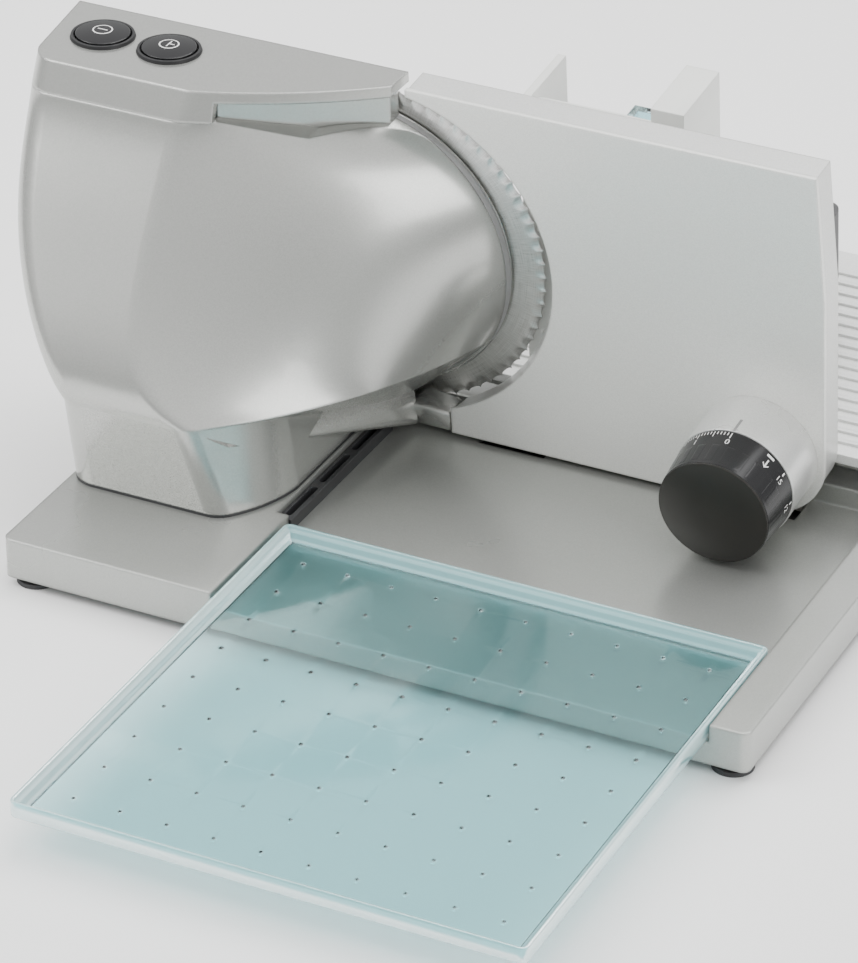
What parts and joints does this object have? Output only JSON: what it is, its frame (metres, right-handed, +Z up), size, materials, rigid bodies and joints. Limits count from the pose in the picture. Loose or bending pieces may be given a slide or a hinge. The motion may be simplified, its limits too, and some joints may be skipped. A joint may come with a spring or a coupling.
{
  "type": "deli meat slicer",
  "caption": "Electric food slicer: leaning scalloped blade in a rounded motor housing, thickness plate with dial, sliding food carriage, remnant holder and clear slice tray.",
  "frame": {"origin": "middle of the whole machine, tray and carriage included, on the surface that its feet stand on", "axes": "+X to the right of somebody who takes the slices from the tray, +Y from that person towards the food carriage, +Z up"},
  "size_m": [0.4195, 0.5368, 0.2089],
  "materials": {
    "silver_paint": "glossy silver coating",
    "blade_steel": "ground stainless steel",
    "dark_plastic": "fine matt",
    "gloss_black": "polished",
    "rubber_black": "soft matt",
    "steel": "plain",
    "zinc": "satin",
    "collar_silver": "satin silver coating",
    "tray_clear": "clear tinted acrylic",
    "guard_clear": "clear tinted acrylic",
    "holder_grey": "satin moulding",
    "table_white": "satin silver-white coating",
    "nylon": "natural nylon",
    "board_green": "solder mask",
    "copper": "enamelled copper and laminations",
    "spring_steel": "drawn wire",
    "magnet": "sintered ferrite",
    "brass_worm": "machined"
  },
  "bodies": {
    "chassis": {"base_cover": "silver_paint", "base_pan": "zinc", "suction_feet": "rubber_black", "base_screws": "steel", "deck_strip": "dark_plastic", "housing_front": "silver_paint", "housing_back": "silver_paint", "housing_top": "silver_paint", "button_bezels": "dark_plastic", "switch_bracket": "zinc", "switches": "dark_plastic", "guard_arm": "silver_paint", "pedestal_seal": "zinc", "gear_frame": "zinc", "shaft_bushes": "brass_worm", "motor_can": "steel", "motor_magnets": "magnet", "motor_cap": "dark_plastic", "motor_bushes": "brass_worm", "motor_brushes": "dark_plastic", "worm_bearing": "nylon", "motor_mount": "zinc", "circuit_board": "board_green", "cam_follower": "steel", "guide_rods": "steel", "rod_blocks": "zinc", "carriage_rail": "steel", "rail_posts": "zinc", "rear_track": "zinc", "cord_inlet": "dark_plastic"},
    "off_button": {"button_off": "gloss_black", "spring_off": "spring_steel"},
    "on_button": {"button_on": "gloss_black", "spring_on": "spring_steel"},
    "blade_unit": {"blade": "blade_steel", "blade_shaft": "steel", "blade_gear": "nylon"},
    "lock": {"blade_lock": "dark_plastic"},
    "rotor_unit": {"rotor": "copper", "worm": "brass_worm"},
    "gauge": {"gauge_plate": "silver_paint", "gauge_cover": "silver_paint", "gauge_feet": "zinc", "dial_collar": "collar_silver"},
    "dial": {"dial_knob": "gloss_black", "dial_cap": "dark_plastic", "dial_spindle": "dark_plastic"},
    "carriage": {"carriage_table": "table_white", "carriage_runner": "nylon", "carriage_glides": "nylon", "carriage_fence": "table_white", "carriage_handle": "dark_plastic"},
    "holder": {"holder_saddle": "holder_grey", "holder_plate": "holder_grey", "thumb_guard": "guard_clear"},
    "tray": {"slice_tray": "tray_clear"}
  },
  "joints": [
    {"name": "off_press", "type": "slide", "parent": "chassis", "child": "off_button", "axis": [0, 0, -1], "range_m": [0, 0.0025], "stiffness_N_per_m": 700, "springref_m": -0.0015, "deforming": ["spring_off"]},
    {"name": "on_press", "type": "slide", "parent": "chassis", "child": "on_button", "axis": [0, 0, -1], "range_m": [0, 0.0025], "stiffness_N_per_m": 700, "springref_m": -0.0015, "deforming": ["spring_on"]},
    {"name": "blade_spin", "type": "hinge", "parent": "chassis", "child": "blade_unit", "pos_m": [-0.0605, 0.10488, 0.1065], "axis": [0, -0.994, -0.1097], "continuous": true},
    {"name": "rotor_spin", "type": "hinge", "parent": "chassis", "child": "rotor_unit", "pos_m": [-0.1039, 0.07307, 0.10299], "axis": [0, -0.1097, 0.994], "continuous": true},
    {"name": "lock_turn", "type": "hinge", "parent": "blade_unit", "child": "lock", "pos_m": [-0.0605, 0.10488, 0.1065], "axis": [0, -0.994, -0.1097], "range_deg": [0, 90]},
    {"name": "gauge_slide", "type": "slide", "parent": "chassis", "child": "gauge", "axis": [0, -0.994, -0.1097], "range_m": [0, 0.015]},
    {"name": "dial_turn", "type": "hinge", "parent": "gauge", "child": "dial", "pos_m": [0.1375, 0.09335, 0.0514], "axis": [0, 0.994, 0.1097], "range_deg": [0, 330]},
    {"name": "carriage_slide", "type": "slide", "parent": "chassis", "child": "carriage", "axis": [-1, 0, 0], "range_m": [0, 0.18]},
    {"name": "holder_slide", "type": "slide", "parent": "carriage", "child": "holder", "axis": [0, 0.994, 0.1097], "range_m": [0, 0.095]},
    {"name": "tray_slide", "type": "slide", "parent": "chassis", "child": "tray", "axis": [0, 1, 0], "range_m": [-0.03, 0.034]}
  ],
  "couplings": [
    {"joint": "rotor_spin", "follows": "blade_spin", "ratio": 18},
    {"joint": "dial_turn", "follows": "gauge_slide", "rad_per_m": 383.97}
  ]
}
